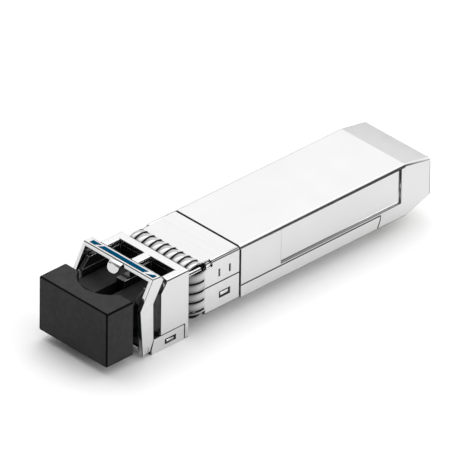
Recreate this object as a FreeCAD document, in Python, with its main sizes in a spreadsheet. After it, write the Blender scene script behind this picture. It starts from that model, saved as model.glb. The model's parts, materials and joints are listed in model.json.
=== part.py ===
"""Pluggable duplex optical transceiver module with a bail latch and a dust plug.

Every piece is drawn about the module datum: X across the module from its middle, Y along it from
the stop shoulder that meets the cage (rear positive), Z up from the underside of the shell.
Placements then carry the pieces to the frame of the part: origin at the middle of its footprint,
on the plane that the nose stands on, plug towards -Y. All sizes are in millimetres.
"""
import FreeCAD, Part
import math
import os
import re
import Sketcher

V = FreeCAD.Vector

SIZES = {
    # envelope of the shell
    "body_long": 47.5, "body_wide": 13.55, "body_tall": 8.5,
    "side_wall": 0.9, "roof": 0.9, "floor": 0.9, "edge_round": 0.45,
    "split_height": 2.05, "rear_opening": 10.4, "hook_step": 0.55, "hook_high": 1.27,
    "tail_run": 4.9, "tail_drop": 0.9, "tail_lift_run": 4.8, "tail_lift": 1.6,
    "panel_start": 18.2, "panel_rear_gap": 5.8, "panel_low": 2.45, "panel_high": 8.0,
    "panel_deep": 0.3,
    # nose that stays outside the cage
    "nose_wide": 13.94, "nose_long": 5.4, "nose_tall": 9.15, "nose_drop": 1.93,
    "slant_run": 1.28, "slant_drop": 1.75, "nose_cheek": 1.2,
    "window_wide": 4.7, "window_front": 4.0, "window_rear": 1.5,
    "lug_radius": 0.3, "lug_long": 2.6, "lug_side_inset": 0.32, "lug_top_inset": 0.55,
    # optical ports
    "port_pitch": 6.25, "port_wide": 4.55, "port_tall": 5.2, "port_axis": 4.3,
    "port_end": 4.8, "port_back": 1.2, "latch_slot_top": 8.2,
    "liner_out": 9.0, "liner_front_half": 6.2, "liner_front_low": 0.35, "liner_front_top": 8.75,
    "liner_front_gap": 0.03, "liner_slant_run": 1.6, "liner_slant_drop": 1.75,
    "liner_divider_back": 2.36, "liner_ledge": 7.2, "latch_channel_half": 5.5,
    "liner_skin": 0.18, "liner_floor": 0.35, "liner_gap": 0.02,
    # shielding collar
    "collar_long": 10.0, "bend_inside": 0.1, "collar_sheet": 0.2, "collar_gap": 0.05, "seam": 0.25,
    "neck_short": 1.6, "finger_root": 3.35, "finger_tip": 0.35, "finger_bulge": 0.18,
    "finger_curve": 2.9, "finger_pitch": 1.46, "finger_slot": 0.24, "side_pitch": 1.55,
    "side_slot_low": 1.4, "side_slot_short": 0.3, "groove_deep": 0.905, "groove_long": 3.7,
    "collar_split": 4.46, "corner_slot": 4.7, "split_gap": 0.1, "top_corner": 0.65,
    "side_corner": 0.9, "collar_window_y": 7.15, "collar_window_z": 2.3,
    "collar_window_long": 2.1, "collar_window_tall": 1.0, "slit_front": 6.1, "slit_rear": 8.14,
    "slit_low": 5.45, "slit_high": 6.6, "slit_wide": 0.24, "notch_gap": 0.15,
    # latch parts under the nose
    "channel_wide": 6.3, "channel_end": 5.7, "channel_roof": 1.0,
    "rocker_wide": 6.0, "rocker_sheet": 0.5,
    "boss_wide": 2.6, "boss_start": 2.5, "boss_end": 5.1, "boss_drop": 0.45,
    "rocker_pivot_y": 3.0, "rocker_pivot_z": 0.85, "rocker_pin_radius": 0.4, "pin_reach": 1.2,
    "pin_play": 0.1, "bracket_sheet": 0.25, "bracket_tall": 2.41,
    "bracket_front": 6.72, "bracket_toe": 7.2, "bracket_toe_tall": 0.73, "bracket_rear": 0.73,
    "bracket_floor_front": 4.6, "bracket_window_y": 3.48, "bracket_window_z": 0.85,
    "bracket_window_long": 1.97, "bracket_window_tall": 0.74,
    "snap_margin": 0.2, "snap_proud": 0.2, "snap_deep": 0.4,
    "rocker_nose": 8.9, "rocker_low": 1.36, "rocker_high": 1.1, "rocker_step": 7.2,
    "rocker_hub_front": 4.2, "rocker_hub_rear": 2.0, "rocker_hub_low": 1.5, "rocker_rise": 0.9,
    "hub_front_high": 0.6, "hub_rear_high": 0.75, "hub_slope": 0.4, "hub_flank": 0.3,
    "spring_front": 1.0, "spring_rear": 4.6, "spring_top_front": 2.4, "spring_top_rear": 3.2,
    "spring_half": 1.5, "spring_sheet": 0.1,
    # bail
    "bail_wide": 14.16, "arm_sheet": 0.7, "bail_pivot_y": 8.2, "bail_pivot_z": 0.6,
    "bail_shaft_radius": 0.45, "cam_throw": 0.55, "cam_radius": 0.3, "cam_wide": 3.0,
    "crossbar_low": 10.0, "crossbar_top": 10.55, "crossbar_front": 7.07, "crossbar_rear": 5.5,
    "crossbar_fall": 0.1, "arm_back_y": 4.95, "arm_back_z": 9.75, "arm_crank_y": 6.88,
    "arm_crank_z": 6.47, "arm_knee_y": 9.48, "arm_knee_z": 6.19, "arm_toe_y": 8.94,
    "arm_toe_z": 1.46, "arm_heel_y": 7.47, "arm_heel_z": 1.11, "arm_hip_y": 6.79,
    "arm_hip_z": 0.53, "ear_wide": 1.25, "ear_in": 4.9, "ear_radius": 0.75,
    "tongue_wide": 2.5, "tongue_out": 1.3, "tongue_down": 1.7, "tongue_sheet": 0.3,
    "tongue_low": 0.15, "tongue_bend": 0.5,
    # strips in the crossbar: one long, one short at each end, all cut on the slant
    "inlay_deep": 0.12, "inlay_front": 6.62, "inlay_rear": 5.95,
    "strip_front_left": -4.5, "strip_front_right": 4.6, "strip_rear_left": -4.0,
    "strip_rear_right": 4.9, "left_strip_end": -6.2, "left_strip_front": -5.3,
    "left_strip_rear": -4.6, "right_strip_front": 5.3, "right_strip_rear": 6.3,
    "right_strip_end": 6.6,
    # dust plug
    "plug_out": 15.7, "plug_head": 5.1, "plug_wide": 13.94, "plug_low": 0.43, "plug_high": 8.4,
    "scoop_radius": 4.88, "scoop_back": 2.23, "scoop_floor": 2.8,
    "prong_gap": 0.1, "prong_tall": 3.8, "prong_lap": 0.3,
    # optics
    "barrel_radius": 1.45, "barrel_start": 0.6, "barrel_end": 9.0, "barrel_cap": 1.0,
    "flange_radius": 2.2, "flange_start": 6.15, "flange_long": 0.8,
    "sleeve_radius": 0.8, "ferrule_radius": 0.626, "sleeve_long": 5.0, "sleeve_inset": 0.2,
    "sleeve_slit": 0.12, "can_radius": 2.3, "can_end": 12.5, "header_side": 4.4,
    "header_end": 13.6, "clamp_long": 1.2, "clamp_low": 1.0, "clamp_high": 7.0,
    "flex_wide": 3.4, "flex_sheet": 0.13, "flex_top": 1.7, "flex_lap": 2.0, "flex_corner": 0.3,
    # circuit board
    "board_start": 15.0, "board_back": 3.2, "board_wide": 11.5, "board_low": 2.25,
    "board_thick": 1.0, "board_ledge": 0.275, "card_wide": 9.2, "card_long": 6.0,
    "card_shoulder": 0.6, "card_bevel": 0.4, "pad_pitch": 0.8, "pad_wide": 0.55,
    "pad_long": 2.6, "pad_thick": 0.03, "pad_inset": 0.5, "post_radius": 1.1, "post_gap": 0.25,
    "post_front": 18.4, "post_rear": 34.6, "screw_radius": 0.62, "screw_head_radius": 1.1,
    "screw_head_tall": 0.55, "screw_long": 3.0, "thread_spare": 0.2, "drive_radius": 0.5,
    "drive_deep": 0.3, "pedestal_low": 5.2, "pedestal_wide": 5.0,
    "absorber_thick": 0.6, "absorber_inset": 0.8, "absorber_front": 0.5, "absorber_rear": 0.4,
    "chip_tall": 0.9, "chip_draft": 0.05, "driver_y": 24.0, "driver_side": 4.0,
    "receiver_x": 3.6, "receiver_y": 19.2, "receiver_side": 3.0,
    "controller_x": -1.4, "controller_y": 30.4, "controller_side": 5.0,
    "memory_x": 3.9, "memory_y": 29.6, "memory_wide": 2.0, "memory_long": 3.0,
    "memory_tall": 0.8, "crystal_x": -3.9, "crystal_y": 20.0, "crystal_wide": 2.0,
    "crystal_long": 2.5, "crystal_tall": 0.6, "inductor_x": 4.1, "inductor_front": 34.0,
    "inductor_rear": 36.4, "inductor_wide": 2.0, "inductor_long": 1.6, "inductor_tall": 1.2,
    "row_start": 22.4, "capacitor_x": 4.6, "capacitor_pitch": 1.2, "capacitor_wide": 1.0,
    "capacitor_long": 0.5, "capacitor_tall": 0.5, "resistor_x": 3.2, "resistor_pitch": 1.0,
    "resistor_wide": 0.6, "resistor_long": 0.3, "resistor_tall": 0.25,
    # clearances and a small rounding
    "running_gap": 0.05, "fixed_gap": 0.02, "shell_gap": 0.03, "clamp_gap": 0.05,
    "board_gap": 0.3, "chip_gap": 0.02, "screw_inset": 0.1, "edge_soft": 0.25,
    # how far cutters, and pieces that are joined, run beyond the face that they meet
    "past": 1.0, "lap": 0.1, "thin_lap": 0.01, "post_lap": 0.2,
}

ROOF_SLOTS = 8
SIDE_SLOTS = 4
PADS = 10
ROW_PARTS = 4
TINY = 1e-6

doc = FreeCAD.newDocument("TransceiverModule")
sizes = doc.addObject("Spreadsheet::Sheet", "Sizes")
for row, (alias, value) in enumerate(SIZES.items(), start=1):
    sizes.set(f"A{row}", alias)
    sizes.set(f"B{row}", str(value))
    sizes.setAlias(f"B{row}", alias)
doc.recompute()

WORD = re.compile(r"\b(" + "|".join(sorted(SIZES, key=len, reverse=True)) + r")\b")

# places shared by several pieces, as expressions of the sheet
HALF = "(body_wide / 2)"
COLLAR_IN = f"({HALF} - collar_sheet)"
NECK = f"({COLLAR_IN} - collar_gap)"
NECK_TOP = "(body_tall - collar_sheet - collar_gap)"
GROOVE = f"({HALF} - groove_deep)"
GROOVE_TOP = "(body_tall - groove_deep)"
CLAMP_HALF = "(port_pitch / 2 + can_radius + clamp_gap)"
PLUG_BACK = "(plug_out - plug_head)"
INNER = f"({HALF} - side_wall)"
ROOF_LOW = "(body_tall - roof)"
PORT_LOW = "(port_axis - port_tall / 2)"
PORT_TOP = "(port_axis + port_tall / 2)"
LINER_HALF = "(port_pitch / 2 + port_wide / 2 + liner_skin)"
LINER_LOW = f"({PORT_LOW} - liner_floor)"
LINER_TOP = "(latch_slot_top + liner_skin)"
LINER_BACK_TOP = f"({PORT_TOP} + liner_floor)"
LINER_END = "(port_end + port_back)"
BOARD_TOP = "(board_low + board_thick)"
BOARD_END = "(body_long - board_back)"
TRAY_END = "(body_long - rear_opening)"
STOP_Y = "(plug_out / 2 - body_long / 2)"
NECK_END = "(collar_long - neck_short)"
NECK_LOW = "(collar_sheet + collar_gap)"
PIN_HALF = "(channel_wide / 2 + pin_reach)"

nodes = {}


def bound(text):
    """Name the sheet in front of each alias."""
    return WORD.sub(lambda found: "Sizes." + found.group(1), text)


def bind(item, field, text):
    item.setExpression(field, bound(text))


def place(item, x, y, z):
    for field, text in zip("xyz", (x, y, z)):
        bind(item, f"Placement.Base.{field}", text)


def block(label, x, y, z):
    """A box between two expressions along each axis."""
    item = doc.addObject("Part::Box", label)
    for field, (low, high) in zip(("Length", "Width", "Height"), (x, y, z)):
        bind(item, field, f"({high}) - ({low})")
    place(item, x[0], y[0], z[0])
    return item


TURNS = {
    "x": FreeCAD.Rotation(V(0, 1, 0), 90),
    "y": FreeCAD.Rotation(V(1, 0, 0), -90),
    "z": FreeCAD.Rotation(),
}


def rod(label, axis, radius, span, centre):
    """A cylinder along one axis, between two expressions, about a centre in the other two."""
    item = doc.addObject("Part::Cylinder", label)
    item.Placement.Rotation = TURNS[axis]
    bind(item, "Radius", radius)
    bind(item, "Height", f"({span[1]}) - ({span[0]})")
    spots = list(centre)
    spots.insert("xyz".index(axis), span[0])
    place(item, *spots)
    return item


def join(label, pieces):
    item = doc.addObject("Part::MultiFuse", label)
    item.Shapes = pieces
    item.Refine = True
    return item


def cut(label, base, tools):
    item = doc.addObject("Part::Cut", label)
    item.Base = base
    item.Tool = tools[0] if len(tools) == 1 else join(label + "_tools", tools)
    item.Refine = True
    return item


def common(label, base, tool):
    item = doc.addObject("Part::Common", label)
    item.Base = base
    item.Tool = tool
    return item


def group(label, pieces):
    """Separate solids that are kept as one node."""
    item = doc.addObject("Part::Compound", label)
    item.Links = pieces
    return item


def node(name, item):
    """Name a finished piece and carry it from the module datum to the frame of the part."""
    if item.TypeId in ("Part::Box", "Part::Cylinder"):
        item = group(name + "_piece", [item])
    item.Label = name
    place(item, "0", STOP_Y, "nose_drop")
    nodes[name] = item
    return item


PLANES = {"x": "YZ_Plane", "y": "XZ_Plane", "z": "XY_Plane"}


def new_body(label):
    return doc.addObject("PartDesign::Body", label)


def sketch_on(body, axis, low, high):
    """A sketch on the body's own plane across the axis, at the end that the feature starts from."""
    sketch = body.newObject("Sketcher::SketchObject", body.Name + "_sketch")
    plane = [face for face in body.Origin.OriginFeatures if face.Role == PLANES[axis]][0]
    sketch.AttachmentSupport = (plane, "")
    sketch.MapMode = "FlatFace"
    bind(sketch, "AttachmentOffset.Base.z", f"-({high})" if axis == "y" else low)
    return sketch


def outline(sketch, points):
    """A closed polygon whose corners are bound to expressions."""
    count = len(points)
    ring = [V(math.cos(2 * math.pi * k / count), math.sin(2 * math.pi * k / count), 0)
            for k in range(count)]
    for k in range(count):
        sketch.addGeometry(Part.LineSegment(ring[k], ring[(k + 1) % count]), False)
    for k in range(count):
        sketch.addConstraint(Sketcher.Constraint("Coincident", k, 2, (k + 1) % count, 1))
    for k, corner in enumerate(points):
        for kind, text, seed in zip(("DistanceX", "DistanceY"), corner, (ring[k].x, ring[k].y)):
            rule = sketch.addConstraint(Sketcher.Constraint(kind, -1, 1, k, 1, seed))
            bind(sketch, f"Constraints[{rule}]", text)


def pad(body, axis, span, points):
    """Grow a polygon along an axis, from the low expression to the high one."""
    sketch = sketch_on(body, axis, *span)
    outline(sketch, points)
    feature = body.newObject("PartDesign::Pad", body.Name + "_pad")
    feature.Profile = sketch
    bind(feature, "Length", f"({span[1]}) - ({span[0]})")
    body.Tip = feature
    return feature


def pocket(body, axis, span, points):
    """Cut a polygon along an axis, from the low expression to the high one."""
    sketch = sketch_on(body, axis, *span)
    outline(sketch, points)
    feature = body.newObject("PartDesign::Pocket", body.Name + "_pocket")
    feature.Profile = sketch
    feature.Reversed = True
    bind(feature, "Length", f"({span[1]}) - ({span[0]})")
    body.Tip = feature
    return feature


def rectangle(first, second):
    (left, right), (low, high) = first, second
    return [(left, low), (right, low), (right, high), (left, high)]


def both_ways(reach):
    return (f"-({reach})", reach)


def span_about(middle, long):
    return (f"({middle}) - ({long}) / 2", f"({middle}) + ({long}) / 2")


def round_edges(body, radius, chosen):
    """Fillet the edges of the body's tip for which the test holds."""
    doc.recompute()
    tip = body.Tip
    names = [f"Edge{k}" for k, edge in enumerate(tip.Shape.Edges, start=1) if chosen(edge)]
    feature = body.newObject("PartDesign::Fillet", body.Name + "_fillet")
    feature.Base = (tip, names)
    bind(feature, "Radius", radius)
    body.Tip = feature
    return feature


def value(alias):
    return float(sizes.get(alias))


def runs_along(edge, axis):
    """True for a straight edge along the axis."""
    if not isinstance(edge.Curve, Part.Line):
        return False
    way = edge.Vertexes[-1].Point.sub(edge.Vertexes[0].Point)
    return abs(abs(way.dot(axis)) - way.Length) < TINY


# --- shell ------------------------------------------------------------------------------------

def base_housing():
    """Die-cast base: nose with its two port mouths, neck under the collar, and the rear tray."""
    body = new_body("base_casting")
    nose = [("-nose_long", "-nose_drop"), ("0", "-nose_drop"), ("0", "nose_tall"),
            ("-nose_long + slant_run", "nose_tall"), ("-nose_long", "nose_tall - slant_drop")]
    pad(body, "x", both_ways("nose_wide / 2"), nose)
    pad(body, "y", ("-past", "groove_long"), rectangle(both_ways(GROOVE), ("groove_deep", GROOVE_TOP)))
    pad(body, "y", ("groove_long", NECK_END), rectangle(both_ways(NECK), (NECK_LOW, NECK_TOP)))
    pad(body, "y", (f"{NECK_END} - past", "collar_long + seam + past"),
        rectangle(both_ways(NECK), (NECK_LOW, "split_height")))
    tray = [("collar_long + seam", "0"), (TRAY_END, "0"), (f"{TRAY_END} + hook_step", "hook_high"),
            (f"{TRAY_END} + hook_step", "split_height"), ("collar_long + seam", "split_height")]
    pad(body, "x", both_ways(HALF), tray)
    # room for the port liner, the optics and the board
    room = both_ways(f"{LINER_HALF} + liner_gap")
    pocket(body, "y", ("-nose_long - past", "-nose_cheek"),
           rectangle(room, (f"{LINER_LOW} - liner_gap", f"{LINER_TOP} + liner_gap")))
    pocket(body, "y", ("-nose_cheek - past", f"{LINER_END} + liner_gap"),
           rectangle(room, (f"{LINER_LOW} - liner_gap", f"{LINER_BACK_TOP} + liner_gap")))
    rear = f"{TRAY_END} + hook_step + past"
    pocket(body, "y", (LINER_END, "board_start - board_gap"),
           rectangle(both_ways(CLAMP_HALF), ("floor", "clamp_high + clamp_gap")))
    pocket(body, "y", ("board_start - board_gap - lap", rear),
           rectangle(both_ways("board_wide / 2 - board_ledge"), ("floor", "board_low + lap")))
    pocket(body, "y", ("board_start - board_gap", rear),
           rectangle(both_ways(INNER), ("board_low", "clamp_high + clamp_gap")))
    # latch windows above the ports
    for side in ("-", ""):
        middle = f"{side}port_pitch / 2"
        pocket(body, "z", ("latch_slot_top - past", "nose_tall + past"),
               rectangle((f"{middle} - window_wide / 2", f"{middle} + window_wide / 2"),
                         ("-window_front", "-window_rear")))
    # channel for the rocker, open to the liner behind the nose and roofed inside it
    pocket(body, "z", ("-nose_drop - past", f"{LINER_LOW} + past / 2"),
           rectangle(both_ways("channel_wide / 2"), ("-nose_cheek", "channel_end")))
    pocket(body, "z", ("-nose_drop - past", "channel_roof"),
           rectangle(both_ways("channel_wide / 2"), ("-nose_long - past", "-nose_cheek + lap")))
    # seat of the latch bracket round the nose's lower edge
    for side in ("-", ""):
        cheek = [(f"{side}(nose_wide / 2 - bracket_sheet)", "-nose_drop - past"),
                 (f"{side}(nose_wide / 2 + past)", "-nose_drop - past"),
                 (f"{side}(nose_wide / 2 + past)", "bracket_tall - nose_drop"),
                 (f"{side}(nose_wide / 2 - bracket_sheet)", "bracket_tall - nose_drop")]
        pocket(body, "y", ("-nose_long - past", "-bracket_rear"), cheek)
    pocket(body, "y", ("-nose_long - past", "-bracket_rear"),
           rectangle(both_ways("nose_wide / 2 + past"), ("-nose_drop - past", "bracket_sheet - nose_drop")))
    round_edges(body, "edge_soft", lambda edge: runs_along(edge, V(0, 1, 0))
                and edge.BoundBox.ZMin > value("nose_tall") - 0.01)
    # ears that carry the bail's shaft, the rocker's pin holes and the screw holes
    ears = []
    for side in (-1, 1):
        inner = "ear_in" if side > 0 else "-ear_in - ear_wide"
        outer = "ear_in + ear_wide" if side > 0 else "-ear_in"
        ears.append(rod(f"ear_eye_{side + 1}", "x", "ear_radius", (inner, outer),
                        ("-bail_pivot_y", "-bail_pivot_z")))
        ears.append(block(f"ear_arm_{side + 1}", (inner, outer), ("-bail_pivot_y", "-nose_long + past / 2"),
                          ("-bail_pivot_z - ear_radius", "-bail_pivot_z + ear_radius")))
    snaps = [block("collar_snap", both_ways(f"{HALF} - collar_sheet + snap_proud / 2"),
                   span_about("collar_window_y", "collar_window_long - 2 * snap_margin"),
                   span_about("collar_window_z", "collar_window_tall - 2 * snap_margin")),
             block("bracket_snap", both_ways("nose_wide / 2 - bracket_sheet + snap_proud"),
                   span_about("-bracket_window_y", "bracket_window_long - 2 * snap_margin"),
                   span_about("-bracket_window_z", "bracket_window_tall - 2 * snap_margin"))]
    lugs = [rod(f"corner_lug_{side + 1}", "y", "lug_radius", ("-lap", "lug_long"),
                (f"{side} * ({HALF} - lug_side_inset)", "body_tall - lug_top_inset"))
            for side in (-1, 1)]
    hollow = block("snap_inside", both_ways(f"{NECK} - snap_deep"), ("-nose_long", "collar_long"),
                   ("-nose_drop", "body_tall"))
    snaps = [cut("snap_pips", join("snap_bars", snaps), [hollow])]
    tools = [rod("bail_shaft_hole", "x", "bail_shaft_radius + running_gap", both_ways("bail_wide"),
                 ("-bail_pivot_y", "-bail_pivot_z")),
             rod("rocker_pin_hole", "x", "rocker_pin_radius + fixed_gap", both_ways(PIN_HALF),
                 ("-rocker_pivot_y", "-rocker_pivot_z"))]
    for k, spot in enumerate(("post_front", "post_rear")):
        tools.append(rod(f"screw_hole_{k}", "z", "screw_radius + running_gap",
                         ("-past", "floor + past"), ("0", spot)))
        tools.append(rod(f"screw_sink_{k}", "z", "screw_head_radius + running_gap",
                         ("-past", "screw_head_tall + screw_inset"), ("0", spot)))
    return cut("base_housing_cut", join("base_with_ears", [body] + ears + snaps + lugs), tools)


def on_roof_side(edge):
    """True for the edges along the roof and its rear slope, on either side of the cover."""
    box = edge.BoundBox
    return (box.XLength < TINY and abs(abs(box.XMin) - value("body_wide") / 2) < TINY
            and box.YLength > value("past") and box.ZMax > value("body_tall") - TINY)


def top_cover():
    """Cover over the board: roof and side walls, open at the rear for the card edge."""
    body = new_body("cover_casting")
    start = "collar_long + seam"
    side = [(start, "split_height + shell_gap"), (start, "body_tall"),
            ("body_long - tail_run", "body_tall"), ("body_long", "body_tall - tail_drop"),
            ("body_long", "tail_lift"), ("body_long - tail_lift_run", "0"),
            (f"{TRAY_END} + shell_gap", "0"), (f"{TRAY_END} + hook_step + shell_gap", "hook_high"),
            (f"{TRAY_END} + hook_step + shell_gap", "split_height + shell_gap")]
    pad(body, "x", both_ways(HALF), side)
    pad(body, "y", (f"{NECK_END} + shell_gap", "collar_long + seam + past / 2"),
        rectangle(both_ways(NECK), ("split_height + shell_gap", NECK_TOP)))
    room = [(NECK_END, "-past"), (NECK_END, ROOF_LOW), ("body_long - tail_run", ROOF_LOW),
            ("body_long + past", f"{ROOF_LOW} - tail_drop * (1 + past / tail_run)"),
            ("body_long + past", "-past")]
    pocket(body, "x", both_ways(f"max({INNER}; {CLAMP_HALF})"), room)
    for low, high in (("-body_wide", f"-{HALF} + panel_deep"), (f"{HALF} - panel_deep", "body_wide")):
        pocket(body, "x", (low, high),
               rectangle(("panel_start", "body_long - panel_rear_gap"), ("panel_low", "panel_high")))
    round_edges(body, "edge_round", on_roof_side)
    posts = []
    threads = []
    for k, spot in enumerate(("post_front", "post_rear")):
        posts.append(rod(f"post_{k}", "z", "post_radius", ("floor", f"{ROOF_LOW} + post_lap"),
                         ("0", spot)))
        threads.append(rod(f"post_thread_{k}", "z", "screw_radius + fixed_gap",
                           ("0", "screw_inset + screw_head_tall + screw_long + thread_spare"), ("0", spot)))
    pedestal = block("pedestal", both_ways("pedestal_wide / 2"),
                     ("driver_y - driver_side / 2", "driver_y + driver_side / 2"),
                     ("pedestal_low", f"{ROOF_LOW} + post_lap"))
    return cut("top_cover_cut", join("cover_with_posts", [body, pedestal] + posts), threads)


def bar(label, half, y, z, radius):
    """A bar along the module with its four long edges rounded."""
    body = new_body(label)
    pad(body, "y", y, rectangle(both_ways(half), z))
    round_edges(body, radius, lambda edge: runs_along(edge, V(0, 1, 0)))
    return body


def finger_row(label, side):
    """Spring fingers of one side: a rolled sheet that bows outwards and dips at its tip."""
    bow = "(finger_curve - finger_bulge)"
    reach = f"(finger_root - sqrt(finger_curve * finger_curve - {bow} * {bow}))"
    across = both_ways(f"({HALF} - top_corner)")
    upright = ("side_corner", "body_tall - side_corner")
    far = "body_wide"
    rows = {
        "top": ("x", across, (reach, f"body_tall - {bow}"), far, (f"body_tall - {bow}", far)),
        "bottom": ("x", across, (reach, bow), far, (f"-{far}", bow)),
        "right": ("z", upright, (f"{HALF} - {bow}", reach), None, (f"{HALF} - {bow}", far)),
        "left": ("z", upright, (f"{bow} - {HALF}", reach), None, (f"-{far}", f"{bow} - {HALF}")),
    }
    axis, span, centre, wide, keep = rows[side]
    roll = cut(f"{label}_roll", rod(f"{label}_outside", axis, "finger_curve", span, centre),
               [rod(f"{label}_inside", axis, "finger_curve - collar_sheet", span, centre)])
    x = both_ways(wide) if wide else keep
    z = keep if wide else ("0", "body_tall")
    return common(label, roll, block(f"{label}_keep", x, ("finger_tip", "finger_root + thin_lap"), z))


def collar_half(name, z):
    """Upper or lower half of the shielding collar, slotted into fingers."""
    low, high = z
    tube = cut(f"{name}_tube", bar(f"{name}_outside", HALF, ("finger_root", "collar_long"),
                                   ("0", "body_tall"), "edge_round"),
               [bar(f"{name}_inside", COLLAR_IN, ("finger_root - past", "collar_long + past"),
                    ("collar_sheet", "body_tall - collar_sheet"), "bend_inside")])
    sides = ["left", "right", "top" if name.endswith("upper") else "bottom"]
    whole = join(f"{name}_whole", [tube] + [finger_row(f"{name}_{side}", side) for side in sides])
    half = common(f"{name}_half", whole,
                  block(f"{name}_keep", both_ways("body_wide"), ("0", "collar_long"), (low, high)))
    tools = []
    slot = "finger_slot / 2"
    for k in range(ROOF_SLOTS):
        middle = f"({k} - {(ROOF_SLOTS - 1) / 2}) * finger_pitch"
        tools.append(block(f"{name}_slot_{k}", (f"{middle} - {slot}", f"{middle} + {slot}"),
                           ("-past", "finger_root"), (low, high)))
    for k in range(SIDE_SLOTS):
        middle = f"side_slot_low + {k} * side_pitch"
        tools.append(block(f"{name}_side_slot_{k}", both_ways("body_wide"),
                           ("-past", "finger_root - side_slot_short"),
                           (f"{middle} - {slot}", f"{middle} + {slot}")))
    # relief slots along the four long corners, and the notch for the latch boss
    for k, (x_sign, z_text) in enumerate([(-1, "top"), (1, "top"), (-1, "low"), (1, "low")]):
        x = (f"{HALF} - top_corner", f"{HALF} + past")
        if x_sign < 0:
            x = (f"-{HALF} - past", f"top_corner - {HALF}")
        z = ("-past", "side_corner")
        if z_text == "top":
            z = ("body_tall - side_corner", "body_tall + past")
        end = "corner_slot" if z_text == "top" else "finger_root"
        tools.append(block(f"{name}_relief_{k}", x, ("-past", end), z))
    tools.append(block(f"{name}_boss_notch", both_ways("channel_wide / 2 + notch_gap"),
                       ("-past", "channel_end + notch_gap"), ("-past", "collar_sheet + past")))
    # lanced windows in the side walls
    if name.endswith("lower"):
        tools.append(block(f"{name}_window", both_ways("body_wide"),
                           span_about("collar_window_y", "collar_window_long"),
                           span_about("collar_window_z", "collar_window_tall")))
    else:
        for spot in ("slit_front", "slit_rear"):
            tools.append(block(f"{name}_{spot}", both_ways("body_wide"), span_about(spot, "slit_wide"),
                               ("slit_low", "slit_high")))
    return cut(name + "_cut", half, tools)


def port_liner():
    """Moulded receptacle of the two ports: it stands out of the nose, open above the latches."""
    body = new_body("liner_moulding")
    face = "-nose_long - liner_front_gap"
    side = [("-liner_out", "liner_front_low"), (face, "liner_front_low"),
            (face, "nose_tall - slant_drop"),
            (f"{face} + slant_run * (liner_front_top - nose_tall + slant_drop) / slant_drop",
             "liner_front_top"),
            ("-liner_out + liner_slant_run", "liner_front_top"),
            ("-liner_out", "liner_front_top - liner_slant_drop")]
    pad(body, "x", both_ways("liner_front_half"), side)
    pad(body, "y", (f"{face} - past / 2", "-nose_cheek"),
        rectangle(both_ways(LINER_HALF), (LINER_LOW, LINER_TOP)))
    pad(body, "y", ("-nose_cheek - past / 2", LINER_END),
        rectangle(both_ways(LINER_HALF), (LINER_LOW, LINER_BACK_TOP)))
    pocket(body, "y", ("-liner_out - past", "-nose_long + slant_run"),
           rectangle(both_ways("latch_channel_half"), ("liner_ledge", "liner_front_top + past")))
    pocket(body, "y", ("-liner_out - past", "-liner_out + liner_divider_back"),
           rectangle(both_ways("port_pitch / 2"), (PORT_LOW, "liner_front_top + past")))
    for side in ("-", ""):
        middle = f"{side}port_pitch / 2"
        across = (f"{middle} - port_wide / 2", f"{middle} + port_wide / 2")
        pocket(body, "y", ("-liner_out - past", "port_end"), rectangle(across, (PORT_LOW, PORT_TOP)))
        pocket(body, "y", ("-liner_out - past", "-window_rear"),
               rectangle(across, (f"{PORT_TOP} - past", "latch_slot_top + past")))
    bores = [rod(f"barrel_bore_{side + 1}", "y", "barrel_radius + fixed_gap",
                 ("port_end - past", f"{LINER_END} + past"), (f"{side} * port_pitch / 2", "port_axis"))
             for side in (-1, 1)]
    return cut("port_liner_cut", body, bores)


def latch_bracket():
    """Stamped channel that closes the nose's underside and keeps the rocker in."""
    body = new_body("bracket_stamping")
    top = "bracket_tall - nose_drop - fixed_gap"
    cheek = [("-bracket_toe", "-nose_drop"), ("-bracket_rear - fixed_gap", "-nose_drop"),
             ("-bracket_rear - fixed_gap", top), ("-bracket_front", top),
             ("-bracket_toe", "bracket_toe_tall - nose_drop")]
    pad(body, "x", both_ways("nose_wide / 2"), cheek)
    inside = rectangle(both_ways("nose_wide / 2 - bracket_sheet + fixed_gap"),
                       ("bracket_sheet - nose_drop - fixed_gap", "bracket_tall"))
    pocket(body, "y", ("-bracket_toe - past", "0"), inside)
    pocket(body, "z", ("-nose_drop - past", "0"),
           rectangle(both_ways("nose_wide / 2 - bracket_tall / 2"),
                     ("-bracket_toe - past", "-bracket_floor_front")))
    window = block("bracket_windows", both_ways("nose_wide"),
                   span_about("-bracket_window_y", "bracket_window_long"),
                   span_about("-bracket_window_z", "bracket_window_tall"))
    return cut("latch_bracket_cut", body, [window])


# --- latch ------------------------------------------------------------------------------------

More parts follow.
